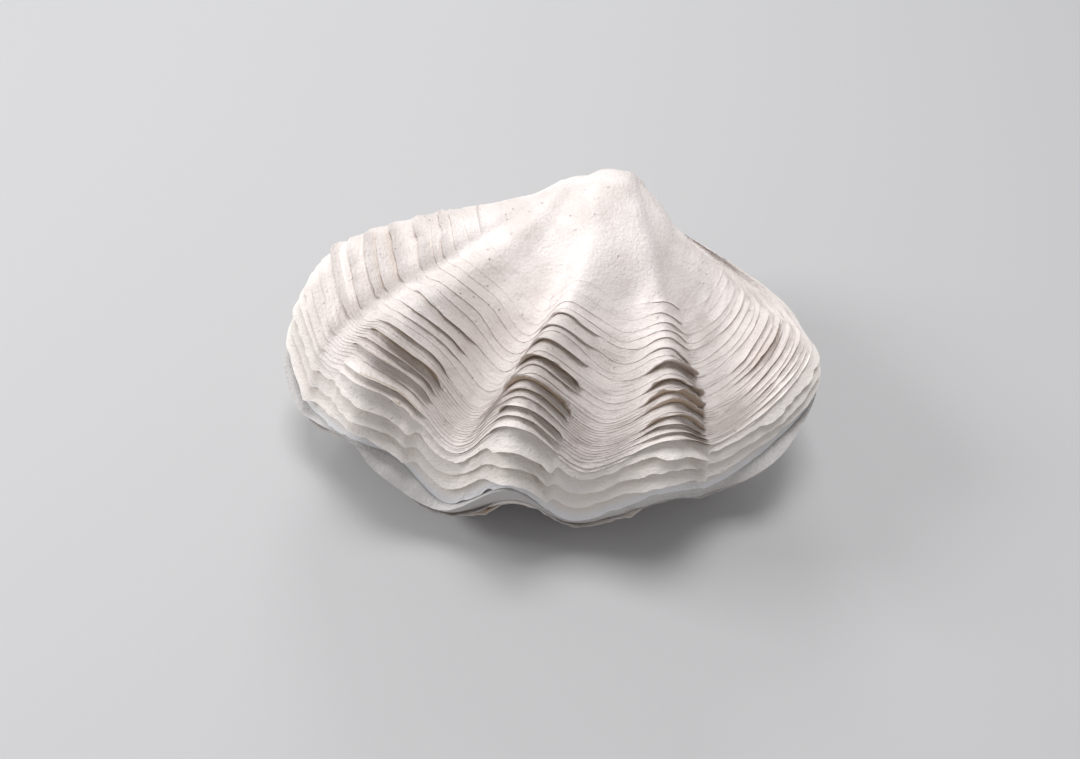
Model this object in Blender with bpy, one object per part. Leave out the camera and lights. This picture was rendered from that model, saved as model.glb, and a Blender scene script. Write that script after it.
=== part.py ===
"""Giant clam shell, closed, lying on its lower valve.

The shell is two valves, upper_valve and lower_valve. Each valve is one solid: an outer sheet, an inner
sheet, and a rim between them. Both sheets come from one growth law. The wavy margin is the shell's
outline today. A smaller copy of it, turned up about the hinge, is the outline at a younger age.
Metres, +Z up, +X the short side, -Y the wavy front. The origin is under the middle of the shell.
"""
import math

import bmesh
import bpy
import numpy as np
from mathutils import Matrix

MM = 0.001

# Pose and fit of the two valves
FORWARD_TILT = math.radians(6.0)
SIDE_ROLL = math.radians(-1.5)
VALVE_GAP = 0.3 * MM
LOWER_SWEEP = 0.8
WEAR_DEPTH = 0.5 * MM

# A valve swells: it is this much taller than its growth stages make it, and its crown is drawn towards
# a point high in front of the beak
SWELL = 1.3
SWELL_SIDE = -24.0 * MM
SWELL_FORWARD = 152.0 * MM
SWELL_UP = 193.0 * MM

# Wall of a valve
FRONT_WALL = 2.4 * MM
SIDE_WALL = 3.0 * MM
HINGE_PLATE = 9.0 * MM
CAVITY_SHIFT_X = -4.0 * MM
LEAST_RADIUS = 1.0 * MM

# Mesh density: steps between two neighbouring spines, and rows of the inner sheet
STEPS_PER_SPINE = 4
INNER_ROWS = 7
YOUNGEST = 0.05

# The margin, as spines that run from the beak to the edge. Each row holds, in mm from the beak: the
# distance to the side, the distance forward, the rise of the wavy edge, and the sideways bow of the
# spine. Then come the sweep of its growth lines in degrees, and how far the lower valve reaches beyond
# the upper one there, in mm.
MARGIN = (
    ("hinge_left", -44.0, 6.0, 0.0, 0.0, 0.0, 0.0),
    ("left_dorsal", -66.8, 10.5, 0.0, 0.0, 32.0, 0.0),
    ("left_flank", -72.4, 22.8, 2.0, 0.0, 50.0, 0.5),
    ("left_keel", -76.1, 32.8, 1.5, 0.0, 48.0, 1.5),
    ("left_notch", -72.6, 43.6, -1.0, -1.0, 34.0, 2.5),
    ("left_valley", -68.9, 48.5, -1.5, -2.0, 24.0, 1.5),
    ("left_rib", -61.0, 56.3, 4.5, -3.0, 12.0, 0.5),
    ("left_rib_side", -52.1, 59.0, 1.5, -2.5, 5.0, 5.0),
    ("left_groove", -42.4, 66.0, -4.5, -1.5, 0.0, 2.0),
    ("middle_rib", -29.6, 68.1, 7.0, -1.8, 0.0, 0.5),
    ("middle_groove", -17.4, 69.6, -5.0, 2.5, 0.0, 0.0),
    ("right_rib", -0.5, 68.2, 5.0, 1.2, -9.0, 0.5),
    ("right_groove", 9.7, 63.0, -3.0, 1.0, -12.0, 1.5),
    ("right_slope", 21.5, 55.5, -1.0, 0.5, -12.0, 3.5),
    ("right_corner", 31.6, 44.8, 2.0, -1.5, -10.0, 0.5),
    ("right_flank", 31.3, 33.5, 1.5, -2.0, -12.0, 0.5),
    ("right_notch", 27.5, 23.4, 0.5, -2.0, -16.0, 0.0),
    ("right_dorsal", 14.5, 9.5, 0.0, 0.0, -14.0, 0.0),
    ("hinge_right", 5.0, 1.0, 0.0, 0.0, 0.0, 0.0),
)

# Stages of growth: size as a share of today's, turn about the hinge in degrees for the upper and the
# lower valve, breadth, depth of the folds, share of the sweep, and sideways drift in mm
GROWTH = (
    (0.00, 180.0, 180.0, 0.60, 0.10, 0.00, -3.0),
    (0.10, 150.0, 150.0, 0.60, 0.15, 0.10, -4.5),
    (0.20, 108.0, 110.0, 0.66, 0.30, 0.30, -5.0),
    (0.26, 86.0, 86.0, 0.71, 0.40, 0.50, -4.7),
    (0.32, 63.0, 63.0, 0.78, 0.60, 0.63, -4.0),
    (0.38, 46.0, 45.0, 0.85, 0.75, 0.68, -2.5),
    (0.50, 28.0, 27.5, 0.97, 1.00, 0.70, -0.5),
    (0.60, 21.0, 19.5, 1.00, 1.20, 0.65, 0.0),
    (0.78, 16.5, 12.5, 1.00, 1.20, 0.50, 0.0),
    (0.88, 14.5, 9.5, 1.00, 1.15, 0.36, 0.0),
    (0.94, 11.5, 7.0, 1.00, 1.05, 0.20, 0.0),
    (0.97, 6.0, 4.0, 1.00, 1.00, 0.06, 0.0),
    (1.00, 0.0, 0.0, 1.00, 1.00, 0.00, 0.0),
)

# Sizes at which growth stopped and left a lamella, and how far each stands off on a rib, in mm
UPPER_LAMELLAE = (
    (0.60, 0.5),
    (0.70, 0.9),
    (0.78, 1.3),
    (0.84, 1.2),
    (0.88, 1.2),
    (0.92, 1.2),
    (0.95, 1.2),
    (0.975, 1.0),
)
LOWER_LAMELLAE = (
    (0.64, 0.6),
    (0.74, 0.9),
    (0.82, 1.1),
    (0.88, 1.1),
    (0.93, 1.1),
    (0.965, 0.9),
)
OVERHANG = 0.008
GROWTH_STEP = 0.002

# A spine's bow is full at two thirds of today's size, where size squared times its rest is 1 / 6.75
FULL_BOW = 6.75

# A lamella stands full height on a rib, lower in a groove, and fades out towards the hinge
MEAN_RELIEF = 0.55
LEAST_RELIEF = 0.2
RIB_RISE = 12.0 * MM
HINGE_CALM = 25.0 * MM

# Rows of the smooth part near the beak
PLAIN_SIZES = (0.10, 0.15, 0.20, 0.25, 0.30, 0.36, 0.43, 0.50)

SHELL_WHITE = (0.80, 0.77, 0.73, 1.0)
SHELL_ROUGHNESS = 0.75
SHARP_EDGE = math.radians(40.0)


def clear_scene():
    """Remove every object of the open scene."""
    for item in list(bpy.data.objects):
        bpy.data.objects.remove(item, do_unlink=True)


def smooth_curve(knots, values, at):
    """Smooth curve through the knots that never overshoots between two of them."""
    knots = np.asarray(knots, float)
    values = np.asarray(values, float)
    step = np.diff(knots)
    slope = np.diff(values) / step
    tangent = np.zeros(len(knots))
    same_way = slope[:-1] * slope[1:] > 0
    total = np.where(same_way, slope[:-1] + slope[1:], 1.0)
    tangent[1:-1] = np.where(same_way, 2.0 * slope[:-1] * slope[1:] / total, 0.0)
    tangent[0] = slope[0]
    tangent[-1] = slope[-1]
    at = np.clip(at, knots[0], knots[-1])
    cell = np.clip(np.searchsorted(knots, at, side="right") - 1, 0, len(step) - 1)
    part = (at - knots[cell]) / step[cell]
    ease = part * part * (3.0 - 2.0 * part)
    start = part * (1.0 - part) ** 2 * step[cell] * tangent[cell]
    end = part * part * (part - 1.0) * step[cell] * tangent[cell + 1]
    return values[cell] * (1.0 - ease) + values[cell + 1] * ease + start + end


def round_curve(values, at):
    """Round curve through evenly numbered values, as a bent spline makes it."""
    values = np.asarray(values, float)
    ends = (2.0 * values[0] - values[1], 2.0 * values[-1] - values[-2])
    padded = np.concatenate(([ends[0]], values, [ends[1]]))
    cell = np.clip(np.floor(at).astype(int), 0, len(values) - 2)
    part = at - cell
    before, first, second, after = (padded[cell + shift] for shift in range(4))
    bend = 2.0 * before - 5.0 * first + 4.0 * second - after
    twist = 3.0 * first - before - 3.0 * second + after
    return 0.5 * (2.0 * first + (second - before) * part + bend * part**2 + twist * part**3)


def spine_values(along):
    """Each column of the margin table at places along the edge, in metres and radians."""
    columns = [round_curve([row[column] for row in MARGIN], along) for column in range(1, 7)]
    side, forward, rise, bow, sweep, reach = columns
    return {
        "side": side * MM,
        "forward": forward * MM,
        "rise": rise * MM,
        "bow": bow * MM,
        "sweep": np.radians(sweep),
        "reach": np.clip(reach, 0.0, None) * MM,
    }


def growth_values(size, lower):
    """Each column of the growth table at the given sizes."""
    knots = [row[0] for row in GROWTH]
    columns = [smooth_curve(knots, [row[column] for row in GROWTH], size) for column in range(1, 7)]
    turn = columns[1] if lower else columns[0]
    return np.radians(turn), columns[2], columns[3], columns[4], columns[5] * MM


def grow(edge, size, lower):
    """Points of a valve: the edge shrunk to a size and turned up about the hinge."""
    turn, breadth, fold, sweep_share, drift = growth_values(size, lower)
    turn = np.clip(turn + edge["sweep"] * sweep_share, 0.0, math.pi)
    bend = FULL_BOW * size**2 * (1.0 - size)
    side = size * edge["side"] * breadth + edge["bow"] * bend + drift
    radius = size * edge["forward"]
    wave = size * edge["rise"] * fold
    forward = radius * np.cos(turn) - wave * np.sin(turn)
    lift = radius * np.sin(turn)
    ripple = wave * np.cos(turn)
    above = lift - ripple if lower else lift + ripple
    pull = (SWELL - 1.0) * above / (SWELL_UP - above)
    side = side + pull * (SWELL_SIDE - side)
    forward = forward + pull * (SWELL_FORWARD - forward)
    return np.stack((side, -forward, SWELL * (lift + ripple)), axis=-1)


def edge_of(lower):
    """The edge where the valves meet. The lower valve's wave is the upper one's, seen from below."""
    along = np.linspace(0.0, len(MARGIN) - 1.0, (len(MARGIN) - 1) * STEPS_PER_SPINE + 1)
    edge = spine_values(along)
    if lower:
        edge["rise"] = -edge["rise"]
        edge["sweep"] = edge["sweep"] * LOWER_SWEEP
    on_rib = np.clip(MEAN_RELIEF + edge["rise"] / RIB_RISE, LEAST_RELIEF, 1.0)
    edge["relief"] = on_rib * np.clip(edge["forward"] / HINGE_CALM, 0.0, 1.0)
    return edge


def outer_edge_of(edge, lower):
    """The outer edge of a valve: on the lower one it reaches out along the rays from the beak."""
    outer = dict(edge)
    if lower:
        distance = np.hypot(edge["side"], edge["forward"])
        for name in ("side", "forward", "rise"):
            outer[name] = edge[name] * (1.0 + edge["reach"] / distance)
    return outer


def inner_edge_of(edge):
    """The edge of the hollow: the same rays from the beak, cut back by the wall."""
    distance = np.hypot(edge["side"], edge["forward"])
    wall = FRONT_WALL + (SIDE_WALL - FRONT_WALL) * np.clip(1.0 - edge["forward"] / distance, 0.0, 1.0)
    share = 1.0 - wall / distance
    inner = dict(edge)
    inner["side"] = edge["side"] * share - CAVITY_SHIFT_X
    inner["forward"] = np.maximum(edge["forward"] * share - HINGE_PLATE, LEAST_RADIUS)
    inner["rise"] = edge["rise"] * share
    return inner


def outward_normal(edge, sizes, points, lower):
    """Normals of the bare growth surface, from the run of the edge and the flow of growth."""
    along = np.gradient(points, axis=1)
    flow = points - grow(edge, sizes - GROWTH_STEP, lower)
    normal = np.cross(flow, along)
    return normal / np.maximum(np.linalg.norm(normal, axis=-1, keepdims=True), 1e-12)


def outer_sheet(edge, lamellae, lower):
    """Outer side: smooth near the beak, then a row of lamellae that stand off and overhang."""
    rows = [(YOUNGEST, 0.0)] + [(size, 0.0) for size in PLAIN_SIZES]
    for size, height in lamellae:
        rows.append((size + OVERHANG, height * MM))
        rows.append((size, 0.0))
    rows.append((1.0, 0.0))
    sizes = np.array([row[0] for row in rows])[:, None]
    heights = np.array([row[1] for row in rows])[:, None, None]
    points = grow(edge, sizes, lower)
    lift = heights * edge["relief"][None, :, None]
    return points + lift * outward_normal(edge, sizes, points, lower)


def inner_sheet(edge, lower):
    """Inner side: the smooth hollow, grown from the inner edge about a point in front of the beak."""
    sizes = np.linspace(YOUNGEST, 1.0, INNER_ROWS)[:, None]
    points = grow(inner_edge_of(edge), sizes, lower)
    return points + np.array((CAVITY_SHIFT_X, -HINGE_PLATE, 0.0))


def add_sheet(mesh, points, flip):
    """Add a grid of faces and move its points into place. Returns its corners in rows."""
    rows, columns = points.shape[:2]
    made = bmesh.ops.create_grid(mesh, x_segments=columns - 1, y_segments=rows - 1, size=1.0)
    corners = made["verts"]
    for index, corner in enumerate(corners):
        corner.co = points[index // columns, index % columns]
    if flip:
        faces = {face for corner in corners for face in corner.link_faces}
        bmesh.ops.reverse_faces(mesh, faces=list(faces))
    return [corners[row * columns : (row + 1) * columns] for row in range(rows)]


def edges_along(mesh, corners):
    """The edges that join a run of neighbouring corners."""
    return [mesh.edges.get(pair) for pair in zip(corners[:-1], corners[1:])]


def bridge_rim(mesh, outside, inside):
    """Join the two sheets along the margin, the hinge line on both sides, and the beak."""
    for end in (-1, 0):
        lines = edges_along(mesh, outside[end]) + edges_along(mesh, inside[end])
        bmesh.ops.bridge_loops(mesh, edges=lines)
    for end in (0, -1):
        lines = edges_along(mesh, [row[end] for row in outside])
        lines += edges_along(mesh, [row[end] for row in inside])
        bmesh.ops.bridge_loops(mesh, edges=lines)


def place_in_world(mesh, lower):
    """Part the valves by the gap, and lean the closed shell forward on its lower valve."""
    for corner in mesh.verts:
        corner.co.z = corner.co.z + 0.5 * VALVE_GAP
        if lower:
            corner.co.z = -corner.co.z
    if lower:
        bmesh.ops.reverse_faces(mesh, faces=mesh.faces)
    lean = Matrix.Rotation(SIDE_ROLL, 4, "Y") @ Matrix.Rotation(FORWARD_TILT, 4, "X")
    bmesh.ops.transform(mesh, matrix=lean, verts=mesh.verts)


def build_valve(lamellae, lower):
    """One valve as a closed mesh: two sheets and the rim that bridges them."""
    edge = edge_of(lower)
    mesh = bmesh.new()
    outside = add_sheet(mesh, outer_sheet(outer_edge_of(edge, lower), lamellae, lower), flip=False)
    inside = add_sheet(mesh, inner_sheet(edge, lower), flip=True)
    bridge_rim(mesh, outside, inside)
    bmesh.ops.triangulate(mesh, faces=mesh.faces)
    bmesh.ops.recalc_face_normals(mesh, faces=mesh.faces)
    place_in_world(mesh, lower)
    return mesh


def settle(meshes):
    """Put the origin under the middle of the shell, on the plane where the lowest points are worn."""
    corners = np.array([corner.co for mesh in meshes for corner in mesh.verts])
    low = corners.min(axis=0)
    high = corners.max(axis=0)
    middle = (low + high) / 2.0
    shift = (-middle[0], -middle[1], -low[2] - WEAR_DEPTH)
    for mesh in meshes:
        bmesh.ops.translate(mesh, vec=shift, verts=mesh.verts)


def wear_flat(mesh):
    """Rub the lowest points of a valve down to flat spots that it rests on."""
    everything = list(mesh.verts) + list(mesh.edges) + list(mesh.faces)
    ground = {"plane_co": (0.0, 0.0, 0.0), "plane_no": (0.0, 0.0, 1.0)}
    bmesh.ops.bisect_plane(mesh, geom=everything, clear_inner=True, **ground)
    bmesh.ops.holes_fill(mesh, edges=[line for line in mesh.edges if line.is_boundary])
    bmesh.ops.triangulate(mesh, faces=mesh.faces)
    bmesh.ops.recalc_face_normals(mesh, faces=mesh.faces)


def shell_material(name):
    """Chalky white shell."""
    material = bpy.data.materials.new(name)
    material.use_nodes = True
    surface = material.node_tree.nodes["Principled BSDF"]
    surface.inputs["Base Color"].default_value = SHELL_WHITE
    surface.inputs["Roughness"].default_value = SHELL_ROUGHNESS
    surface.inputs["Metallic"].default_value = 0.0
    return material


def add_object(name, mesh):
    """Turn a finished mesh into a named object of the scene."""
    data = bpy.data.meshes.new(name)
    mesh.to_mesh(data)
    mesh.free()
    data.materials.append(shell_material(name + "_shell"))
    data.shade_smooth()
    data.set_sharp_from_angle(angle=SHARP_EDGE)
    item = bpy.data.objects.new(name, data)
    bpy.context.scene.collection.objects.link(item)
    return item


def main():
    clear_scene()
    upper = build_valve(UPPER_LAMELLAE, lower=False)
    lower = build_valve(LOWER_LAMELLAE, lower=True)
    settle((upper, lower))
    wear_flat(lower)
    add_object("upper_valve", upper)
    add_object("lower_valve", lower)


main()
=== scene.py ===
# %% [markdown]
# # A closed giant clam shell
#
# The shell lies on its lower valve, with the beaks at the back and the wavy margin in front. Both valves
# are grown here by the same law as the plain model in the frame, but row by row, with every lamella.
#
# First comes the frame, which holds the plain valves and the place where each one sits.

# %% Load the frame
import math

import bpy
import numpy as np
from mathutils import Matrix, Vector


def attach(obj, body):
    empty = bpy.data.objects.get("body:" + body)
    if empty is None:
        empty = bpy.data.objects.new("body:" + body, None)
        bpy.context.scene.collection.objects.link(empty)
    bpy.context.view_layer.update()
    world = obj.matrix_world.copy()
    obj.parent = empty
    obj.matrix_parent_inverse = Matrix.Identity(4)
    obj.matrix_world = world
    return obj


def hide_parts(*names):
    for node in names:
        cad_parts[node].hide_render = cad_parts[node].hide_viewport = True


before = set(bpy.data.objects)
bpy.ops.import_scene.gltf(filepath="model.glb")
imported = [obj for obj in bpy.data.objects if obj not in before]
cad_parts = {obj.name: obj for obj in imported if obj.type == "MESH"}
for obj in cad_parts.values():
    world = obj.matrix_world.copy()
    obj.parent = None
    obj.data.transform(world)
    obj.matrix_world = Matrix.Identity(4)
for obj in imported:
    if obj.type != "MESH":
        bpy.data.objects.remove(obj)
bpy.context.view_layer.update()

print("CAD nodes:", sorted(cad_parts))

# %% [markdown]
# ## Where the shell sits
#
# A clam shell grows outwards from its beak, so every length is measured from there. The closed shell leans
# forward on the worn folds of its lower valve. The two valves meet along one wavy edge with a hair's
# breadth between them.

# %% Place of the beak and lean of the shell
MM = 0.001
BEAK = np.array((0.022443, 0.032086, 0.027706))
FORWARD_TILT = math.radians(6.0)
SIDE_ROLL = math.radians(-1.5)
VALVE_GAP = 0.3 * MM
LEAN = np.array(Matrix.Rotation(SIDE_ROLL, 3, "Y") @ Matrix.Rotation(FORWARD_TILT, 3, "X"))


def place(points, lower):
    """Part the valves by the gap, turn the lower one over, and lean the shell at its place."""
    points = points + np.array((0.0, 0.0, 0.5 * VALVE_GAP))
    if lower:
        points = points * np.array((1.0, 1.0, -1.0))
    return points @ LEAN.T + BEAK


# %% [markdown]
# ## Camera, floor and light
#
# The shell is seen from the front and from about 54 degrees above the floor. It could be lit by a single
# lamp, but chalky shell shows its lamellae best under a wide soft light from above and a little behind:
# each lip then shades the layer below it. The sky fills the shadows, and the floor is a pale sheet.

# %% Camera
CAMERA_PLACE = LEAN @ np.array((-24.0, -152.0, 193.0)) * MM + BEAK
LOOK_DOWN = math.radians(60.0)
CAMERA_FORWARD = Vector(LEAN @ np.array((0.0, math.cos(LOOK_DOWN), -math.sin(LOOK_DOWN))))
CAMERA_RIGHT = Vector(LEAN @ np.array((1.0, 0.0, 0.0)))

camera_data = bpy.data.cameras.new("camera")
camera_data.lens = 36.0
camera_data.sensor_width = 36.0
camera_data.clip_start = 0.005
camera = bpy.data.objects.new("camera", camera_data)
camera_up = CAMERA_RIGHT.cross(CAMERA_FORWARD)
turn = Matrix((CAMERA_RIGHT, camera_up, -CAMERA_FORWARD)).transposed().to_4x4()
camera.matrix_world = Matrix.Translation(CAMERA_PLACE) @ turn
bpy.context.scene.collection.objects.link(camera)
bpy.context.scene.camera = camera
print("Camera height over the floor:", round(camera.matrix_world.translation.z, 4))


# %% Node helper
def add_node(tree, kind, at, inputs=(), **settings):
    """Add a node with its settings, and fill its sockets with values or with links."""
    node = tree.nodes.new(kind)
    node.location = at
    for name, value in settings.items():
        setattr(node, name, value)
    for socket, value in dict(inputs).items():
        if isinstance(value, bpy.types.NodeSocket):
            tree.links.new(value, node.inputs[socket])
        else:
            node.inputs[socket].default_value = value
    return node


def new_material(name):
    """A material with an empty node tree and its output node."""
    material = bpy.data.materials.new(name)
    material.use_nodes = True
    material.node_tree.nodes.clear()
    output = material.node_tree.nodes.new("ShaderNodeOutputMaterial")
    output.location = (900, 0)
    return material, material.node_tree, output


# %% Floor
FLOOR_SIZE = 4.0
FLOOR_GREY = (0.50, 0.50, 0.51, 1.0)

bpy.ops.object.select_all(action="DESELECT")
bpy.ops.mesh.primitive_plane_add(size=FLOOR_SIZE, location=(0.0, 0.0, 0.0))
floor = bpy.context.object
floor.name = "floor"
paper, tree, output = new_material("pale_paper")
sheet = add_node(tree, "ShaderNodeBsdfPrincipled", (500, 0), {"Base Color": FLOOR_GREY, "Roughness": 0.8})
tree.links.new(sheet.outputs["BSDF"], output.inputs["Surface"])
floor.data.materials.append(paper)


# %% Lights
AIM = (0.0, 0.0, 0.02)
LAMP_SIZE = 0.24
SKY_STRENGTH = 0.40


def soft_lamp(name, place_at, power):
    """A square area lamp that shines from a place on the shell."""
    data = bpy.data.lights.new(name, "AREA")
    data.shape = "SQUARE"
    data.size = LAMP_SIZE
    data.energy = power
    lamp = bpy.data.objects.new(name, data)
    lamp.location = place_at
    lamp.rotation_euler = (Vector(AIM) - Vector(place_at)).to_track_quat("-Z", "Y").to_euler()
    bpy.context.scene.collection.objects.link(lamp)
    print(name, "gives", power, "W")


soft_lamp("top_light", (0.0, 0.05, 0.75), 2.9)
soft_lamp("left_light", (-0.60, 0.05, 0.45), 2.4)
soft_lamp("back_light", (-0.05, 0.60, 0.42), 1.1)

world = bpy.data.worlds.new("pale_room")
bpy.context.scene.world = world
world.use_nodes = True
world.node_tree.nodes["Background"].inputs["Color"].default_value = (1.0, 1.0, 1.0, 1.0)
world.node_tree.nodes["Background"].inputs["Strength"].default_value = SKY_STRENGTH
bpy.context.scene.view_settings.view_transform = "Standard"

# %% [markdown]
# ## The growth law
#
# A valve grows by adding shell along its edge. So every growth line is a smaller copy of today's margin,
# turned up about the hinge. The margin is drawn as spines that run from the beak to the edge: broad ribs
# and grooves in front, a keel on the long left side and a corner on the right. The growth stages say how
# far a smaller copy is turned up, and how wide and how deeply folded it is. A lofted or sculpted surface
# could be shaped to look alike, but this law gives lines that run as real growth lines do.

# %% Margin and growth stages
# Each spine: distance to the side, distance forward, rise of the wavy edge and sideways bow, in mm; the
# sweep of its growth lines in degrees; and how far the lower valve reaches beyond the upper one, in mm.
MARGIN = (
    ("hinge_left", -44.0, 6.0, 0.0, 0.0, 0.0, 0.0),
    ("left_dorsal", -66.8, 10.5, 0.0, 0.0, 32.0, 0.0),
    ("left_flank", -72.4, 22.8, 2.0, 0.0, 50.0, 0.5),
    ("left_keel", -76.1, 32.8, 1.5, 0.0, 48.0, 1.5),
    ("left_notch", -72.6, 43.6, -1.0, -1.0, 34.0, 2.5),
    ("left_valley", -68.9, 48.5, -1.5, -2.0, 24.0, 1.5),
    ("left_rib", -61.0, 56.3, 4.5, -3.0, 12.0, 0.5),
    ("left_rib_side", -52.1, 59.0, 1.5, -2.5, 5.0, 5.0),
    ("left_groove", -42.4, 66.0, -4.5, -1.5, 0.0, 2.0),
    ("middle_rib", -29.6, 68.1, 7.0, -1.8, 0.0, 0.5),
    ("middle_groove", -17.4, 69.6, -5.0, 2.5, 0.0, 0.0),
    ("right_rib", -0.5, 68.2, 5.0, 1.2, -9.0, 0.5),
    ("right_groove", 9.7, 63.0, -3.0, 1.0, -12.0, 1.5),
    ("right_slope", 21.5, 55.5, -1.0, 0.5, -12.0, 3.5),
    ("right_corner", 31.6, 44.8, 2.0, -1.5, -10.0, 0.5),
    ("right_flank", 31.3, 33.5, 1.5, -2.0, -12.0, 0.5),
    ("right_notch", 27.5, 23.4, 0.5, -2.0, -16.0, 0.0),
    ("right_dorsal", 14.5, 9.5, 0.0, 0.0, -14.0, 0.0),
    ("hinge_right", 5.0, 1.0, 0.0, 0.0, 0.0, 0.0),
)
# Each stage: size as a share of today's, turn about the hinge in degrees for the upper and the lower
# valve, breadth, depth of the folds, share of the sweep, and sideways drift in mm.
GROWTH = (
    (0.00, 180.0, 180.0, 0.60, 0.10, 0.00, -3.0),
    (0.10, 150.0, 150.0, 0.60, 0.15, 0.10, -4.5),
    (0.20, 108.0, 110.0, 0.66, 0.10, 0.30, -5.0),
    (0.26, 86.0, 86.0, 0.71, 0.15, 0.50, -4.7),
    (0.32, 63.0, 63.0, 0.78, 0.28, 0.63, -4.0),
    (0.38, 46.0, 45.0, 0.85, 0.45, 0.68, -2.5),
    (0.50, 28.0, 27.5, 0.97, 0.85, 0.70, -0.5),
    (0.60, 21.0, 19.5, 1.00, 1.10, 0.65, 0.0),
    (0.78, 16.5, 12.5, 1.00, 1.20, 0.50, 0.0),
    (0.88, 14.5, 9.5, 1.00, 1.15, 0.36, 0.0),
    (0.94, 11.5, 7.0, 1.00, 1.05, 0.20, 0.0),
    (0.97, 6.0, 4.0, 1.00, 1.00, 0.06, 0.0),
    (1.00, 0.0, 0.0, 1.00, 1.00, 0.00, 0.0),
)
LOWER_SWEEP = 0.8
FULL_BOW = 6.75
# The valves are fuller than the fitted growth by SWELL. Each point moves along its own line to the camera,
# whose place from the beak is given here, so the shell keeps its outline in the picture.
SWELL = 1.3
SWELL_SIDE = -24.0 * MM
SWELL_FORWARD = 152.0 * MM
SWELL_UP = 193.0 * MM
LAST_SPINE = len(MARGIN) - 1.0


# %% Curves through the tables
def smooth_curve(knots, values, at):
    """Smooth curve through the knots that never overshoots between two of them."""
    knots = np.asarray(knots, float)
    values = np.asarray(values, float)
    step = np.diff(knots)
    slope = np.diff(values) / step
    tangent = np.zeros(len(knots))
    same_way = slope[:-1] * slope[1:] > 0
    total = np.where(same_way, slope[:-1] + slope[1:], 1.0)
    tangent[1:-1] = np.where(same_way, 2.0 * slope[:-1] * slope[1:] / total, 0.0)
    tangent[0] = slope[0]
    tangent[-1] = slope[-1]
    at = np.clip(at, knots[0], knots[-1])
    cell = np.clip(np.searchsorted(knots, at, side="right") - 1, 0, len(step) - 1)
    part = (at - knots[cell]) / step[cell]
    ease = part * part * (3.0 - 2.0 * part)
    start = part * (1.0 - part) ** 2 * step[cell] * tangent[cell]
    end = part * part * (part - 1.0) * step[cell] * tangent[cell + 1]
    return values[cell] * (1.0 - ease) + values[cell + 1] * ease + start + end


def round_curve(values, at):
    """Round curve through evenly numbered values, as a bent spline makes it."""
    values = np.asarray(values, float)
    ends = (2.0 * values[0] - values[1], 2.0 * values[-1] - values[-2])
    padded = np.concatenate(([ends[0]], values, [ends[1]]))
    cell = np.clip(np.floor(at).astype(int), 0, len(values) - 2)
    part = at - cell
    before, first, second, after = (padded[cell + shift] for shift in range(4))
    bend = 2.0 * before - 5.0 * first + 4.0 * second - after
    twist = 3.0 * first - before - 3.0 * second + after
    return 0.5 * (2.0 * first + (second - before) * part + bend * part**2 + twist * part**3)


# %% The law itself
def edge_at(along, lower):
    """Today's edge at places along it. The lower valve's wave is the upper one's, seen from below."""
    columns = [round_curve([row[column] for row in MARGIN], along) for column in range(1, 7)]
    side, forward, rise, bow, sweep, reach = columns
    edge = {"side": side * MM, "forward": forward * MM, "rise": rise * MM, "bow": bow * MM}
    edge["sweep"] = np.radians(sweep)
    edge["reach"] = np.clip(reach, 0.0, None) * MM
    if lower:
        edge["rise"] = -edge["rise"]
        edge["sweep"] = edge["sweep"] * LOWER_SWEEP
    return edge


def grow(edge, size, lower):
    """Points of a valve: the edge shrunk to a size and turned up about the hinge."""
    knots = [row[0] for row in GROWTH]
    columns = [smooth_curve(knots, [row[column] for row in GROWTH], size) for column in range(1, 7)]
    turn_up = np.radians(columns[1] if lower else columns[0])
    breadth, fold, sweep_share, drift = columns[2:]
    turn_up = np.clip(turn_up + edge["sweep"] * sweep_share, 0.0, math.pi)
    bend = FULL_BOW * size**2 * (1.0 - size)
    side = size * edge["side"] * breadth + edge["bow"] * bend + drift * MM
    radius = size * edge["forward"]
    wave = size * edge["rise"] * fold
    forward = radius * np.cos(turn_up) - wave * np.sin(turn_up)
    lift = radius * np.sin(turn_up)
    ripple = wave * np.cos(turn_up)
    above = lift - ripple if lower else lift + ripple
    pull = (SWELL - 1.0) * above / (SWELL_UP - above)
    side = side + pull * (SWELL_SIDE - side)
    forward = forward + pull * (SWELL_FORWARD - forward)
    return np.stack((side, -forward, SWELL * (lift + ripple)), axis=-1)


# %% [markdown]
# ## Columns of points along the edge
#
# The surface is a grid: its rows are growth lines and its columns run from the beak to the edge. Columns
# an equal distance apart along the wavy edge put the most points where the folds are.

# %% Even columns
COLUMNS = 375


def even_columns(count):
    """Places along the edge that lie equally far apart, and their distance from the left hinge end."""
    along = np.linspace(0.0, LAST_SPINE, 4001)
    points = grow(edge_at(along, False), np.ones_like(along), False)
    run = np.concatenate(([0.0], np.cumsum(np.linalg.norm(np.diff(points, axis=0), axis=1))))
    girth = np.linspace(0.0, run[-1], count)
    return np.interp(girth, run, along), girth


ALONG, GIRTH = even_columns(COLUMNS)
print("Length of the edge in mm:", round(GIRTH[-1] / MM, 1))


# %% [markdown]
# ## Chance with a memory
#
# No two lamellae are alike: each wanders a little, and its lip is ragged. Smooth noise from a numbered
# table gives that unevenness, and the same shell each time the script runs.

# %% Smooth noise
TABLE_SIDE = 97


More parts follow.
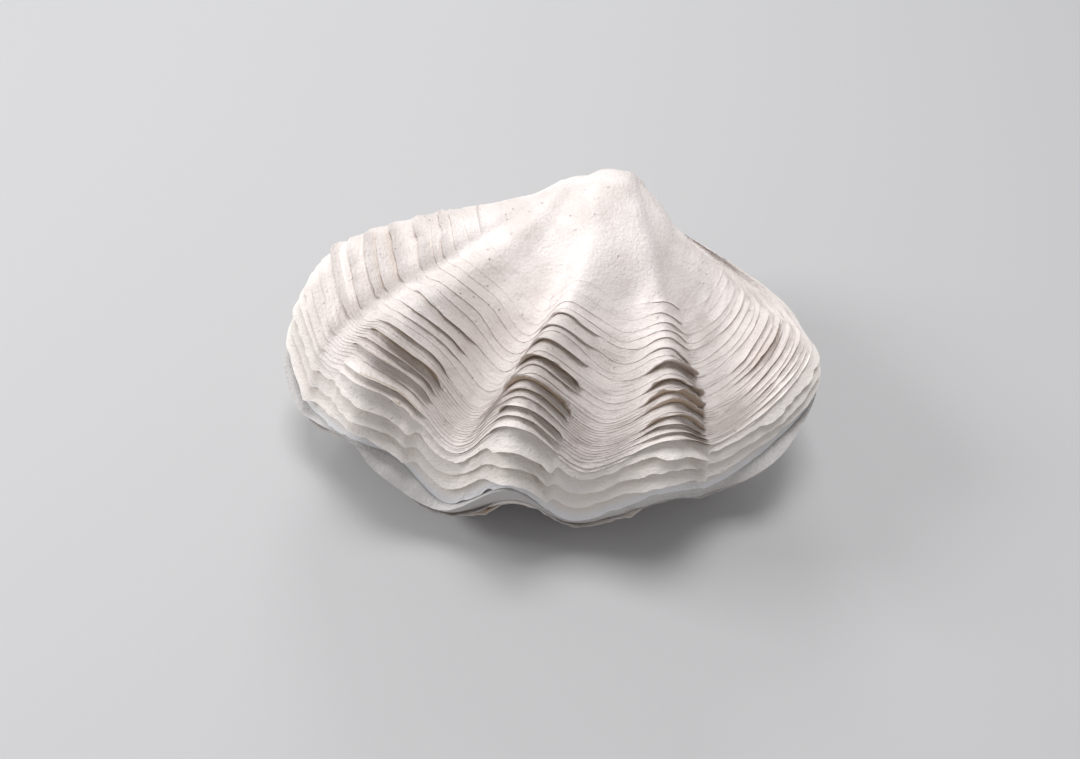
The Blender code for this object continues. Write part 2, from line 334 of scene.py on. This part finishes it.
def soft_noise(across, down, seed):
    """Smooth noise between -1 and 1 over two coordinates, with about one bump per unit."""
    table = np.random.default_rng(seed).uniform(-1.0, 1.0, (TABLE_SIDE, TABLE_SIDE))
    across, down = np.broadcast_arrays(np.asarray(across, float), np.asarray(down, float))
    column = np.floor(across).astype(int)
    row = np.floor(down).astype(int)
    part_x = across - column
    part_y = down - row
    ease_x = part_x * part_x * (3.0 - 2.0 * part_x)
    ease_y = part_y * part_y * (3.0 - 2.0 * part_y)
    corner = [
        [table[(row + down_one) % TABLE_SIDE, (column + one) % TABLE_SIDE] for one in (0, 1)]
        for down_one in (0, 1)
    ]
    upper_side = corner[0][0] * (1.0 - ease_x) + corner[0][1] * ease_x
    lower_side = corner[1][0] * (1.0 - ease_x) + corner[1][1] * ease_x
    return upper_side * (1.0 - ease_y) + lower_side * ease_y


def smooth_step(low, high, at):
    """0 below low, 1 above high, and a soft slope between them. With low above high it falls instead."""
    part = np.clip((at - low) / (high - low), 0.0, 1.0)
    return part * part * (3.0 - 2.0 * part)


# %% [markdown]
# ## Lamellae
#
# A lamella is an old edge of the valve. The animal stopped growing there for a while, and then began the
# next layer a little further in and below, so the old edge stands off as a lip. Lips are tall on the left
# side of each rib, break off on its right side, and nearly vanish in the grooves, where the layers lie
# close together. They could be ridges all of one height, but that looks like a staircase. So a lip is a low
# wall everywhere, and a tall one at a few named places.

# %% Places where lips stand tall
# Each place: its middle along the edge, and how far the lip keeps its height to the left and to the right.
UPPER_PLACES = (
    ("flank", 3.7, 1.2, 0.9),
    ("left_rib", 6.7, 1.1, 0.62),
    ("middle_rib", 9.15, 0.48, 0.44),
    ("right_rib", 11.2, 0.62, 0.62),
    ("right_slope", 13.5, 0.8, 1.0),
)
LOWER_PLACES = (
    ("flank", 4.3, 1.3, 0.9),
    ("left_fold", 8.0, 0.8, 0.7),
    ("middle_fold", 10.15, 0.65, 0.6),
    ("right_fold", 12.3, 0.6, 0.7),
    ("corner", 15.0, 1.0, 1.0),
)


# Slopes at both ends of a place, in shares of its reach, and at both ends of the hinge, in spines.
LEFT_SLOPE = (0.35, 1.25)
RIGHT_SLOPE = (0.70, 1.15)
LEFT_HINGE_SLOPE = (0.3, 1.8)
RIGHT_HINGE_SLOPE = (0.2, 1.4)


def lip_profile(places, values):
    """Height of a lip along the edge in mm: the first value everywhere, the others at their places."""
    profile = np.full(COLUMNS, values[0])
    for (_, middle, left, right), value in zip(places, values[1:]):
        rise = 1.0 - smooth_step(*LEFT_SLOPE, (middle - ALONG) / left)
        fall = 1.0 - smooth_step(*RIGHT_SLOPE, (ALONG - middle) / right)
        profile += value * np.minimum(rise, fall)
    profile = profile * smooth_step(*LEFT_HINGE_SLOPE, ALONG)
    return profile * smooth_step(*RIGHT_HINGE_SLOPE, LAST_SPINE - ALONG)


# %% Growth stops
# Each stop: its size, then the height of its lip in mm, everywhere and at the five places.
UPPER_STOPS = (
    (0.500, 0.05, 0.3, 0.0, 0.0, 0.2, 0.1),
    (0.530, 0.05, 0.3, 0.0, 0.0, 0.3, 0.1),
    (0.560, 0.10, 0.4, 0.0, 0.1, 0.3, 0.3),
    (0.583, 0.15, 1.0, 0.0, 0.0, 0.2, 0.1),
    (0.606, 0.18, 0.3, 0.0, 0.6, 0.3, 0.3),
    (0.646, 0.15, 1.1, 0.1, 0.6, 0.6, 0.2),
    (0.672, 0.10, 0.1, 0.1, 0.1, 0.1, 0.1),
    (0.700, 0.15, 1.4, 0.7, 1.2, 1.8, 0.2),
    (0.740, 0.08, 0.8, 1.0, 0.1, 0.1, 0.6),
    (0.765, 0.12, 1.5, 0.3, 1.9, 2.0, 0.3),
    (0.786, 0.08, 0.2, 0.1, 0.6, 0.1, 1.3),
    (0.812, 0.10, 1.5, 1.0, 0.1, 2.1, 0.4),
    (0.846, 0.20, 1.6, 2.4, 2.6, 1.4, 0.6),
    (0.868, 0.12, 0.4, 1.3, 1.0, 0.2, 0.3),
    (0.886, 0.20, 1.0, 2.2, 0.4, 1.6, 0.7),
    (0.905, 0.18, 0.5, 0.3, 1.3, 1.3, 0.4),
    (0.919, 0.20, 0.9, 1.8, 1.0, 1.3, 0.8),
    (0.934, 0.30, 0.6, 1.5, 1.4, 1.3, 0.6),
    (0.949, 0.40, 0.8, 1.4, 1.9, 1.3, 0.9),
    (0.964, 0.50, 0.6, 1.4, 1.5, 1.1, 0.8),
    (0.978, 0.65, 0.7, 1.4, 1.5, 1.0, 0.6),
)
LOWER_STOPS = (
    (0.520, 0.08, 0.2, 0.1, 0.1, 0.1, 0.1),
    (0.580, 0.10, 0.3, 0.3, 0.3, 0.3, 0.1),
    (0.640, 0.12, 0.5, 0.5, 0.5, 0.5, 0.2),
    (0.690, 0.12, 0.6, 0.9, 0.7, 0.7, 0.2),
    (0.740, 0.15, 0.8, 1.1, 1.0, 0.9, 0.3),
    (0.780, 0.15, 0.7, 1.2, 1.1, 1.0, 0.3),
    (0.820, 0.18, 0.9, 1.3, 1.3, 1.1, 0.4),
    (0.850, 0.18, 0.8, 1.2, 1.1, 1.1, 0.4),
    (0.880, 0.20, 0.9, 1.2, 1.3, 1.1, 0.4),
    (0.905, 0.20, 0.7, 1.1, 1.0, 1.0, 0.4),
    (0.930, 0.18, 0.8, 1.0, 0.8, 0.6, 0.4),
    (0.950, 0.15, 0.6, 1.0, 0.6, 0.5, 0.4),
    (0.970, 0.15, 0.6, 0.8, 0.5, 0.4, 0.4),
)
# Faint stops are added between these two sizes, wherever two stops lie further apart than the longest step.
FIRST_MINOR = 0.84
LAST_MINOR = 0.96
LONGEST_STEP = 0.009
MINOR_HEIGHT = (0.16, 0.10, -0.06, -0.14, -0.14, -0.10)


def all_stops(stops):
    """The stops in the table, with faint ones between them wherever two lie far apart in young shell."""
    full = []
    for first, second in zip(stops, stops[1:] + ((1.0,),)):
        full.append((first[0], first[1:]))
        gap = second[0] - first[0]
        extra = int(gap / LONGEST_STEP) if FIRST_MINOR < second[0] < LAST_MINOR else 0
        for step in range(1, extra + 1):
            full.append((first[0] + gap * step / (extra + 1), MINOR_HEIGHT))
    return full


print("Growth stops:", len(all_stops(UPPER_STOPS)), "and", len(all_stops(LOWER_STOPS)))

# %% [markdown]
# ## Rows of a valve
#
# Each layer is a run of rows. It starts in the crevice under the lip before it, flares towards its own lip,
# and turns under. A height map on a plain surface could not show the undercut, so the lip's rows really
# reach out over the next layer. The underside follows the plate above it, a third of a millimetre lower,
# so that it never comes through. In the steep young part near the margin the plates are shorter in size
# than they look, so they reach out less and flare later.

# %% Ends and heights of the lamellae
YOUNGEST = 0.05
WANDER = 0.0060
LIP_WAVE = 0.30
LIP_RAGGED = 0.13
CHIP_LOSS = 0.4
MARGIN_FLARE = 0.30
NOTCH_DEPTH = 0.0032
RETREAT = 0.026


def lip_of(number, places, values, seed, chipped):
    """Height of one lip along the edge in mm, with ragged places and a few chips broken out."""
    count = GIRTH / MM
    lip = lip_profile(places, values)
    lip = lip * (1.0 + LIP_WAVE * soft_noise(count / 9.0, number * 1.7, seed))
    ragged = LIP_RAGGED * soft_noise(count / 3.0, number * 3.1, seed + 1)
    ragged += LIP_RAGGED * soft_noise(count / 1.4, number * 5.3, seed + 2)
    chip = smooth_step(0.60, 0.72, soft_noise(count / 4.0, number * 2.3, seed + 3))
    return np.clip(lip * (1.0 + ragged) * (1.0 - CHIP_LOSS * chipped * chip), 0.0, None)


def lamella_tops(stops, places, seed):
    """Where each lamella ends along the edge, and how tall its lip is. The last one is today's margin."""
    count = GIRTH / MM
    tops = []
    for number, (size, values) in enumerate(stops):
        calm = 1.0 - 0.7 * smooth_step(0.80, 0.95, size)
        wander = WANDER * calm * soft_noise(count / 11.0, size * 40.0, seed + 5)
        chipped = 1.0 - 0.85 * smooth_step(0.92, 0.95, size)
        tops.append((size + wander, lip_of(number, places, values, seed + 10, chipped)))
    notch = NOTCH_DEPTH * smooth_step(0.1, 0.9, soft_noise(count / 5.0, 0.0, seed + 7))
    notch += 0.3 * NOTCH_DEPTH * soft_noise(count / 1.8, 0.0, seed + 8)
    margin_lip = MARGIN_FLARE
    retreat = 0.0
    if places is LOWER_PLACES:
        # The lower valve's margin lies a little back under the middle of the front.
        margin_lip = 0.0
        retreat = RETREAT * smooth_step(9.2, 10.2, ALONG) * smooth_step(13.2, 12.2, ALONG)
    tops.append((1.0 - np.clip(notch, 0.0, None) - retreat, np.full(COLUMNS, margin_lip)))
    return tops


# %% Build the rows
PLAIN_ROWS = 27
ROW_STEP = 0.0050
LIP_THICKNESS = 0.34
LIP_BEVEL = 0.0012
OVERHANG = 0.0095
MOST_OVERHANG = 0.60
UNDERCUT = 0.0045
FLARE = 1.9
STEEP_FROM = 0.93
STEEP_TO = 0.955
STEEP_REACH = 0.55
STEEP_FLARE = 2.6
STEEP_STEPS = 6


def lamellar_rows(stops, places, seed):
    """Sizes, heights in mm, and crevice marks of all rows of the outer side."""
    plain_sizes = np.linspace(YOUNGEST, stops[0][0], PLAIN_ROWS)[:-1]
    nothing = np.zeros(COLUMNS)
    rows = [(np.full(COLUMNS, size), nothing, nothing) for size in plain_sizes]
    tops = lamella_tops(stops, places, seed)
    start = np.full(COLUMNS, stops[0][0]) - ROW_STEP
    before = nothing
    for number, (end, lip) in enumerate(tops):
        last = number == len(tops) - 1
        room = nothing if last else tops[number + 1][0] - end
        steep = smooth_step(STEEP_FROM, STEEP_TO, float(np.mean(end)))
        reach = 1.0 - (1.0 - STEEP_REACH) * steep
        flare = FLARE + (STEEP_FLARE - FLARE) * steep
        inner = start - UNDERCUT * reach * np.clip(before, 0.0, 1.2)
        outer = end + np.minimum(OVERHANG * reach * np.clip(lip, 0.0, 1.8), MOST_OVERHANG * room)
        steps = max(3, int(round(float(np.mean(end - start)) / ROW_STEP)) + 1)
        steps = max(steps, STEEP_STEPS) if steep > 0.3 else steps
        for step in range(steps):
            part = step / (steps - 1)
            # The crevice mark fades down the layer from under the lip before it: tan that is partly tan
            # skin and dirt and partly painted shade.
            shade = np.clip(before, 0.0, 1.0) * (1.0 - part) ** (2.0 - 0.6 * steep)
            rows.append((inner + (outer - inner) * part, lip * part**flare, shade))
        # The lip's turned-under tip and its underside carry the crevice mark too: painted shade under the
        # lip, with some dirt.
        if not last:
            tip = outer - LIP_BEVEL * reach * np.clip(lip / 0.3, 0.0, 1.0)
            rows.append((tip, lip - np.minimum(LIP_THICKNESS, 0.85 * lip), np.clip(lip, 0.0, 1.0) * 0.7))
            middle = 0.45 * outer + 0.55 * (end - UNDERCUT * reach * np.clip(lip, 0.0, 1.2))
            plate = lip * ((middle - inner) / (outer - inner)) ** flare
            rows.append((middle, plate - np.minimum(LIP_THICKNESS, 0.7 * plate), np.clip(lip, 0.0, 1.0)))
        start = end
        before = lip
    return tuple(np.array(column) for column in zip(*rows))


UPPER_ROWS = lamellar_rows(all_stops(UPPER_STOPS), UPPER_PLACES, 11)
LOWER_ROWS = lamellar_rows(all_stops(LOWER_STOPS), LOWER_PLACES, 71)
print("Rows:", len(UPPER_ROWS[0]), "and", len(LOWER_ROWS[0]))

# %% [markdown]
# ## From rows to points
#
# The rows are grown by the law and then lifted off along the surface's own outward direction. Fine growth
# lines and the slow unevenness of old shell are added in the same step. The lines are strongest on the
# ribs and in the grooves, weak on the left flank and the right slope, and start early in the round hollow
# between the two right ribs.

# %% Outer and inner points
GROWTH_STEP = 0.002
FINE_LINE = 0.10
LINE_SPACING = 0.62
# Unevenness: length of a bump along the edge and across it, and its height, all in mm.
UNEVEN = ((8.0, 6.0, 0.42), (3.4, 2.6, 0.19), (1.4, 1.2, 0.08))
FRONT_WALL = 2.4 * MM
SIDE_WALL = 3.0 * MM
HINGE_PLATE = 9.0 * MM
CAVITY_SHIFT_X = -4.0 * MM
LEAST_RADIUS = 1.0 * MM
INNER_ROWS = 14
TODAY = 68.0


def outer_edge_of(edge, lower):
    """The outer edge of a valve: on the lower one it reaches out along the rays from the beak."""
    outer = dict(edge)
    if lower:
        distance = np.hypot(edge["side"], edge["forward"])
        for name in ("side", "forward", "rise"):
            outer[name] = edge[name] * (1.0 + edge["reach"] / distance)
    return outer


def inner_edge_of(edge):
    """The edge of the hollow: the same rays from the beak, cut back by the wall."""
    distance = np.hypot(edge["side"], edge["forward"])
    wall = FRONT_WALL + (SIDE_WALL - FRONT_WALL) * np.clip(1.0 - edge["forward"] / distance, 0.0, 1.0)
    share = 1.0 - wall / distance
    inner = dict(edge)
    inner["side"] = edge["side"] * share - CAVITY_SHIFT_X
    inner["forward"] = np.maximum(edge["forward"] * share - HINGE_PLATE, LEAST_RADIUS)
    inner["rise"] = edge["rise"] * share
    return inner


def unit_normals(edge, sizes, points, lower):
    """Outward directions of the bare growth surface."""
    run = np.gradient(points, axis=1)
    flow = points - grow(edge, sizes - GROWTH_STEP, lower)
    normal = np.cross(flow, run)
    return normal / np.maximum(np.linalg.norm(normal, axis=-1, keepdims=True), 1e-12)


def line_strength(sizes):
    """How strong the fine growth lines are at each point."""
    lined = smooth_step(0.48, 0.75, sizes) * (1.0 - 0.5 * smooth_step(0.955, 0.975, sizes))
    lined = lined * (1.0 - 0.75 * smooth_step(5.6, 4.2, ALONG) - 0.6 * smooth_step(12.4, 13.2, ALONG))
    bowl = smooth_step(9.5, 10.0, ALONG) * smooth_step(11.1, 10.6, ALONG)
    return np.maximum(lined, bowl * smooth_step(0.42, 0.50, sizes) * smooth_step(0.80, 0.70, sizes))


def outer_points(edge, rows, lower, seed):
    """The outer side of a valve, with lips, fine growth lines and slow unevenness."""
    sizes, heights, _ = rows
    points = grow(edge, sizes, lower)
    normal = unit_normals(edge, sizes, points, lower)
    count = GIRTH[None, :] / MM
    growth = sizes * TODAY
    lines = soft_noise(count / 16.0, growth / LINE_SPACING, seed)
    uneven = 0.0
    for step, (across, down, height) in enumerate(UNEVEN):
        uneven = uneven + soft_noise(count * sizes / across, growth / down, seed + 1 + step) * height
    calm = smooth_step(0.05, 0.25, sizes) * (1.0 - smooth_step(0.95, 1.0, sizes))
    lift = heights + FINE_LINE * lines * line_strength(sizes) + uneven * calm
    return points + lift[:, :, None] * MM * normal


def inner_points(edge, lower):
    """The inner side of a valve: the smooth hollow."""
    sizes = np.linspace(YOUNGEST, 1.0, INNER_ROWS)[:, None]
    points = grow(inner_edge_of(edge), sizes, lower)
    return points + np.array((CAVITY_SHIFT_X, -HINGE_PLATE, 0.0))


# %% [markdown]
# ## Making a valve
#
# Each side starts as Blender's flat grid, whose points are then moved to the grown places. The two sheets
# are joined into one object, and their open edges are bridged, one side after the other: along the
# margin, at the beak and along both halves of the hinge. One bridge round the whole loop would twist,
# because the sheets have different numbers of rows.

# %% Sheet from a grid
def select_only(item):
    """Deselect everything, then select one object and make it active."""
    bpy.ops.object.select_all(action="DESELECT")
    item.select_set(True)
    bpy.context.view_layer.objects.active = item


def add_sheet(name, points, marks):
    """Add a grid, move its points into place, and keep its measures for the finish."""
    rows, columns = points.shape[:2]
    bpy.ops.object.select_all(action="DESELECT")
    bpy.ops.mesh.primitive_grid_add(x_subdivisions=columns - 1, y_subdivisions=rows - 1, size=2.0)
    sheet = bpy.context.object
    sheet.name = name
    mesh = sheet.data
    assert len(mesh.vertices) == rows * columns
    mesh.vertices.foreach_set("co", points.reshape(-1).astype(np.float32))
    for key, values in marks.items():
        layer = mesh.attributes.new(key, "FLOAT", "POINT")
        layer.data.foreach_set("value", values.reshape(-1).astype(np.float32))
    return sheet


def set_growth_map(mesh):
    """A UV map in centimetres: across is the distance along the edge, up is the age of the shell."""
    girth = np.zeros(len(mesh.vertices), np.float32)
    growth = np.zeros(len(mesh.vertices), np.float32)
    mesh.attributes["girth"].data.foreach_get("value", girth)
    mesh.attributes["growth"].data.foreach_get("value", growth)
    corner = np.zeros(len(mesh.loops), np.int32)
    mesh.loops.foreach_get("vertex_index", corner)
    flat = np.stack((girth[corner], growth[corner]), axis=-1)
    layer = mesh.uv_layers.new(name="growth_map")
    layer.data.foreach_set("uv", flat.reshape(-1))
    mesh.uv_layers.active = layer


# %% Bridges
def bridge(item, first, second):
    """Bridge two chains of points of the active piece, given by their numbers in order."""
    mesh = item.data
    wanted = {tuple(sorted(pair)) for chain in (first, second) for pair in zip(chain[:-1], chain[1:])}
    bpy.ops.object.mode_set(mode="OBJECT")
    mesh.vertices.foreach_set("select", np.zeros(len(mesh.vertices), bool))
    mesh.polygons.foreach_set("select", np.zeros(len(mesh.polygons), bool))
    ends = np.zeros(len(mesh.edges) * 2, np.int32)
    mesh.edges.foreach_get("vertices", ends)
    picked = np.array([tuple(sorted(pair)) in wanted for pair in ends.reshape(-1, 2).tolist()])
    mesh.edges.foreach_set("select", picked)
    bpy.ops.object.mode_set(mode="EDIT")
    bpy.ops.mesh.select_mode(type="EDGE")
    bpy.ops.mesh.bridge_edge_loops()
    bpy.ops.object.mode_set(mode="OBJECT")


# %% Whole valves
SHARP_EDGE = math.radians(50.0)


def sheet_marks(sizes, crevice, inside):
    """The measures that the finish reads, for every point of a sheet."""
    flat = 0.0 * sizes
    return {
        "girth": GIRTH[None, :] / (10.0 * MM) + flat,
        "growth": sizes * TODAY / 10.0,
        "crevice": crevice + flat,
        "size": sizes,
        "along": ALONG[None, :] + flat,
        "inside": inside + flat,
    }


def make_valve(name, rows, lower, seed):
    """One valve: outer and inner sheet, bridged, closed and shaded."""
    edge = edge_at(ALONG, lower)
    sizes, _, crevice = rows
    inner_sizes = np.repeat(np.linspace(YOUNGEST, 1.0, INNER_ROWS)[:, None], COLUMNS, axis=1)
    outside = place(outer_points(outer_edge_of(edge, lower), rows, lower, seed), lower)
    inside = place(inner_points(edge, lower), lower)
    outer = add_sheet(name, outside, sheet_marks(sizes, crevice, 0.0))
    inner = add_sheet(name + "_inside", inside, sheet_marks(inner_sizes, 0.0, 1.0))
    select_only(outer)
    inner.select_set(True)
    bpy.ops.object.join()
    first = np.arange(sizes.size).reshape(sizes.shape)
    second = np.arange(inner_sizes.size).reshape(inner_sizes.shape) + sizes.size
    bridge(outer, first[-1].tolist(), second[-1].tolist())
    bridge(outer, first[0].tolist(), second[0].tolist())
    bridge(outer, first[:, 0].tolist(), second[:, 0].tolist())
    bridge(outer, first[:, -1].tolist(), second[:, -1].tolist())
    bpy.ops.object.mode_set(mode="EDIT")
    bpy.ops.mesh.select_all(action="SELECT")
    bpy.ops.mesh.normals_make_consistent(inside=False)
    bpy.ops.object.mode_set(mode="OBJECT")
    set_growth_map(outer.data)
    bpy.ops.object.shade_smooth_by_angle(angle=SHARP_EDGE)
    print(name, "has", sum(len(face.vertices) - 2 for face in outer.data.polygons), "triangles")
    return outer


upper_shell = make_valve("upper_shell", UPPER_ROWS, False, 21)
lower_shell = make_valve("lower_shell", LOWER_ROWS, True, 41)

# %% [markdown]
# ## Worn feet
#
# The lower valve stands on the folds that stick out furthest, and they are rubbed flat where it stands. A
# cut along the floor, filled again, makes just such flat spots.

# %% Wear the lower valve flat
select_only(lower_shell)
bpy.ops.object.mode_set(mode="EDIT")
bpy.ops.mesh.select_all(action="SELECT")
bpy.ops.mesh.bisect(plane_co=(0.0, 0.0, 0.0), plane_no=(0.0, 0.0, 1.0), use_fill=True, clear_inner=True)
bpy.ops.object.mode_set(mode="OBJECT")
lowest = min(point.co.z for point in lower_shell.data.vertices)
print("Lowest point in mm:", round(lowest / MM, 3))

# %% [markdown]
# ## Chalk and porcelain
#
# Old shell is chalky: matt, faintly warm and full of pits. Young shell near the edge is smoother, paler and
# satin, because it hasn't weathered, and only the last band is bluish. Tan in the crevices under the lips
# is partly tan skin and dirt and partly painted shade, and the grey of the lower valve's thin edge is
# painted shade. Marks for age and crevice could be painted by hand; here they come from the growth itself,
# as values kept at every point.

# %% Colours
CHALK = (0.85, 0.79, 0.77, 1.0)
CHALK_SHADE = (0.72, 0.655, 0.63, 1.0)
# Tan under the lips: partly tan skin and dirt, partly painted shade.
TAN_DIRT_AND_SHADE = (0.50, 0.38, 0.265, 1.0)
FRESH = (0.87, 0.815, 0.78, 1.0)
BLUISH = (0.82, 0.82, 0.845, 1.0)
# Grey of the lower valve's thin edge: painted shade.
EDGE_SHADE_GREY = (0.52, 0.50, 0.49, 1.0)
PORCELAIN = (0.84, 0.83, 0.81, 1.0)
# From this size on, the lower valve's thin edge is painted grey: painted shade for the shadow under the
# upper valve and the dark seen through the thin shell.
LOWER_EDGE_SHADE_FROM = 0.955
BUMP_DISTANCE = 0.7 * MM


# %% Material helpers
def mix_colours(tree, at, share, first, second):
    """Mix two colours by a share."""
    node = add_node(tree, "ShaderNodeMix", at, data_type="RGBA", blend_type="MIX")
    for socket, value in ((0, share), (6, first), (7, second)):
        if isinstance(value, bpy.types.NodeSocket):
            tree.links.new(value, node.inputs[socket])
        else:
            node.inputs[socket].default_value = value
    return node.outputs[2]


def ramp(tree, at, value, low, high, bottom=0.0, top=1.0):
    """Map a range of values smoothly to another."""
    settings = {"Value": value, "From Min": low, "From Max": high, "To Min": bottom, "To Max": top}
    node = add_node(tree, "ShaderNodeMapRange", at, settings, interpolation_type="SMOOTHSTEP")
    return node.outputs["Result"]


def arithmetic(tree, at, operation, *values):
    """One step of arithmetic on two or three values."""
    node = add_node(tree, "ShaderNodeMath", at, dict(enumerate(values)), operation=operation)
    return node.outputs[0]


def noise(tree, at, vector, scale, detail, roughness):
    """A noise texture, whose value lies about one half."""
    settings = {"Vector": vector, "Scale": scale, "Detail": detail, "Roughness": roughness}
    return add_node(tree, "ShaderNodeTexNoise", at, settings).outputs["Fac"]


# %% Patterns and shares
def shell_patterns(tree, offset):
    """Growth lines along the growth map; clouds, grain and pits in space; and the marks of every point."""
    place_in = add_node(tree, "ShaderNodeTexCoord", (-1600, 0)).outputs["Object"]
    flat = add_node(tree, "ShaderNodeUVMap", (-1600, -300), uv_map="growth_map").outputs["UV"]
    stretch = {"Vector": flat, "Location": (offset, offset, 0.0), "Scale": (2.2, 26.0, 1.0)}
    long_lines = add_node(tree, "ShaderNodeMapping", (-1350, -300), stretch).outputs["Vector"]
    cells = {"Vector": place_in, "Scale": 420.0, "Randomness": 1.0}
    found = {
        "lines": noise(tree, (-1150, -300), long_lines, 1.0, 5.0, 0.65),
        "clouds": noise(tree, (-1150, 0), place_in, 90.0, 5.0, 0.6),
        "grain": noise(tree, (-1150, 250), place_in, 1400.0, 4.0, 0.6),
        "pits": add_node(tree, "ShaderNodeTexVoronoi", (-1150, 500), cells).outputs["Distance"],
    }
    for step, key in enumerate(("crevice", "size", "inside", "along")):
        node = add_node(tree, "ShaderNodeAttribute", (-1600, -500 - 180 * step), attribute_name=key)
        found[key] = node.outputs["Fac"]
    return found


def age_shares(tree, found):
    """How young, how new and how lined the shell is at every point."""
    young = ramp(tree, (-900, -500), found["size"], 0.90, 0.97)
    newest = ramp(tree, (-900, -600), found["size"], 0.984, 0.998)
    lined = ramp(tree, (-900, -700), found["size"], 0.45, 0.72)
    off_flank = ramp(tree, (-900, -800), found["along"], 3.8, 5.8, 0.30, 1.0)
    lined = arithmetic(tree, (-750, -750), "MULTIPLY", lined, off_flank)
    off_slope = ramp(tree, (-900, -900), found["along"], 12.4, 13.4, 1.0, 0.45)
    lined = arithmetic(tree, (-650, -750), "MULTIPLY", lined, off_slope)
    return young, newest, lined


# %% Colour of the shell
def shell_colour(tree, found, shares, edge_shade_from):
    """Chalk with darker lines, fresh and bluish towards the edge, tan dirt and painted shade in the
    crevices.
    """
    young, newest, lined = shares
    cloudy = ramp(tree, (-900, 0), found["clouds"], 0.38, 0.68)
    colour = mix_colours(tree, (-600, 0), cloudy, CHALK, CHALK_SHADE)
    dark_line = ramp(tree, (-900, -300), found["lines"], 0.60, 0.35)
    dark_line = arithmetic(tree, (-700, -300), "MULTIPLY", dark_line, lined)
    dark_line = arithmetic(tree, (-550, -300), "MULTIPLY", dark_line, 0.38)
    colour = mix_colours(tree, (-400, 0), dark_line, colour, CHALK_SHADE)
    colour = mix_colours(tree, (-300, 0), young, colour, FRESH)
    colour = mix_colours(tree, (-200, 0), newest, colour, BLUISH)
    # Tan under the lips, strongest on younger shell: partly tan skin and dirt, partly painted shade.
    blotchy = ramp(tree, (-400, -500), found["clouds"], 0.20, 0.55, 0.55, 1.0)
    younger = ramp(tree, (-400, -600), found["size"], 0.60, 0.90, 0.35, 1.0)
    dirt_and_shade_strength = arithmetic(tree, (-300, -400), "MULTIPLY", blotchy, younger)
    dirt_and_shade_share = arithmetic(tree, (-200, -300), "MULTIPLY", found["crevice"], dirt_and_shade_strength)
    colour = mix_colours(tree, (0, 0), dirt_and_shade_share, colour, TAN_DIRT_AND_SHADE)
    # The lower valve's thin edge is painted grey: painted shade.
    if edge_shade_from:
        painted_edge_shade = ramp(tree, (0, -200), found["size"], edge_shade_from, edge_shade_from + 0.02, 0.0, 0.85)
        colour = mix_colours(tree, (80, 0), painted_edge_shade, colour, EDGE_SHADE_GREY)
    return mix_colours(tree, (150, 0), found["inside"], colour, PORCELAIN)


# %% Relief of the shell
def shell_relief(tree, found, young, lined):
    """Bump of fine lines, grain and a few pits; weaker on young shell, almost none inside."""
    lines = arithmetic(tree, (-500, -700), "MULTIPLY", found["lines"], lined)
    lines = arithmetic(tree, (-300, -700), "MULTIPLY", lines, 0.9)
    grainy = arithmetic(tree, (-300, 250), "MULTIPLY_ADD", found["grain"], 0.50, lines)
    around = ramp(tree, (-900, 500), found["pits"], 0.02, 0.16)
    pit = arithmetic(tree, (-800, 600), "SUBTRACT", 1.0, around)
    few = ramp(tree, (-900, 700), found["clouds"], 0.42, 0.62)
    pit = arithmetic(tree, (-700, 600), "MULTIPLY", pit, few)
    pitted = arithmetic(tree, (-150, 400), "MULTIPLY_ADD", pit, -0.45, grainy)
    smooth_edge = arithmetic(tree, (-500, -1000), "MULTIPLY", young, 0.30)
    smooth_inside = arithmetic(tree, (-500, -1100), "MULTIPLY", found["inside"], 0.85)
    smooth_share = arithmetic(tree, (-400, -1000), "MAXIMUM", smooth_edge, smooth_inside)
    old = arithmetic(tree, (-300, -900), "SUBTRACT", 1.0, smooth_share)
    height = arithmetic(tree, (0, 250), "MULTIPLY", pitted, old)
    settings = {"Strength": 1.0, "Distance": BUMP_DISTANCE, "Height": height}
    return add_node(tree, "ShaderNodeBump", (300, -300), settings).outputs["Normal"]


# %% Shell material
def shell_material(name, offset, edge_shade_from):
    """Chalky shell with growth lines, tan crevices and a satin young edge."""
    material, tree, output = new_material(name)
    found = shell_patterns(tree, offset)
    young, newest, lined = age_shares(tree, found)
    satin = arithmetic(tree, (-500, -900), "MAXIMUM", young, found["inside"])
    settings = {
        "Base Color": shell_colour(tree, found, (young, newest, lined), edge_shade_from),
        "Roughness": ramp(tree, (300, -100), satin, 0.0, 1.0, 0.78, 0.42),
        "Normal": shell_relief(tree, found, young, lined),
        "Specular IOR Level": 0.4,
    }
    surface = add_node(tree, "ShaderNodeBsdfPrincipled", (600, 0), settings)
    tree.links.new(surface.outputs["BSDF"], output.inputs["Surface"])
    print(name, "has", len(tree.nodes), "nodes")
    return material


for shell, offset, edge_shade_from in ((upper_shell, 0.0, None), (lower_shell, 7.3, LOWER_EDGE_SHADE_FROM)):
    shell.data.materials.clear()
    shell.data.materials.append(shell_material(shell.name + "_chalk", offset, edge_shade_from))

# %% [markdown]
# ## Hand over
#
# Each fine valve stands for its plain valve in the frame, and both lie still on the one body.

# %% Ride, replace and finish
for shell, cad_node in ((upper_shell, "upper_valve"), (lower_shell, "lower_valve")):
    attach(shell, "root")
    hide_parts(cad_node)
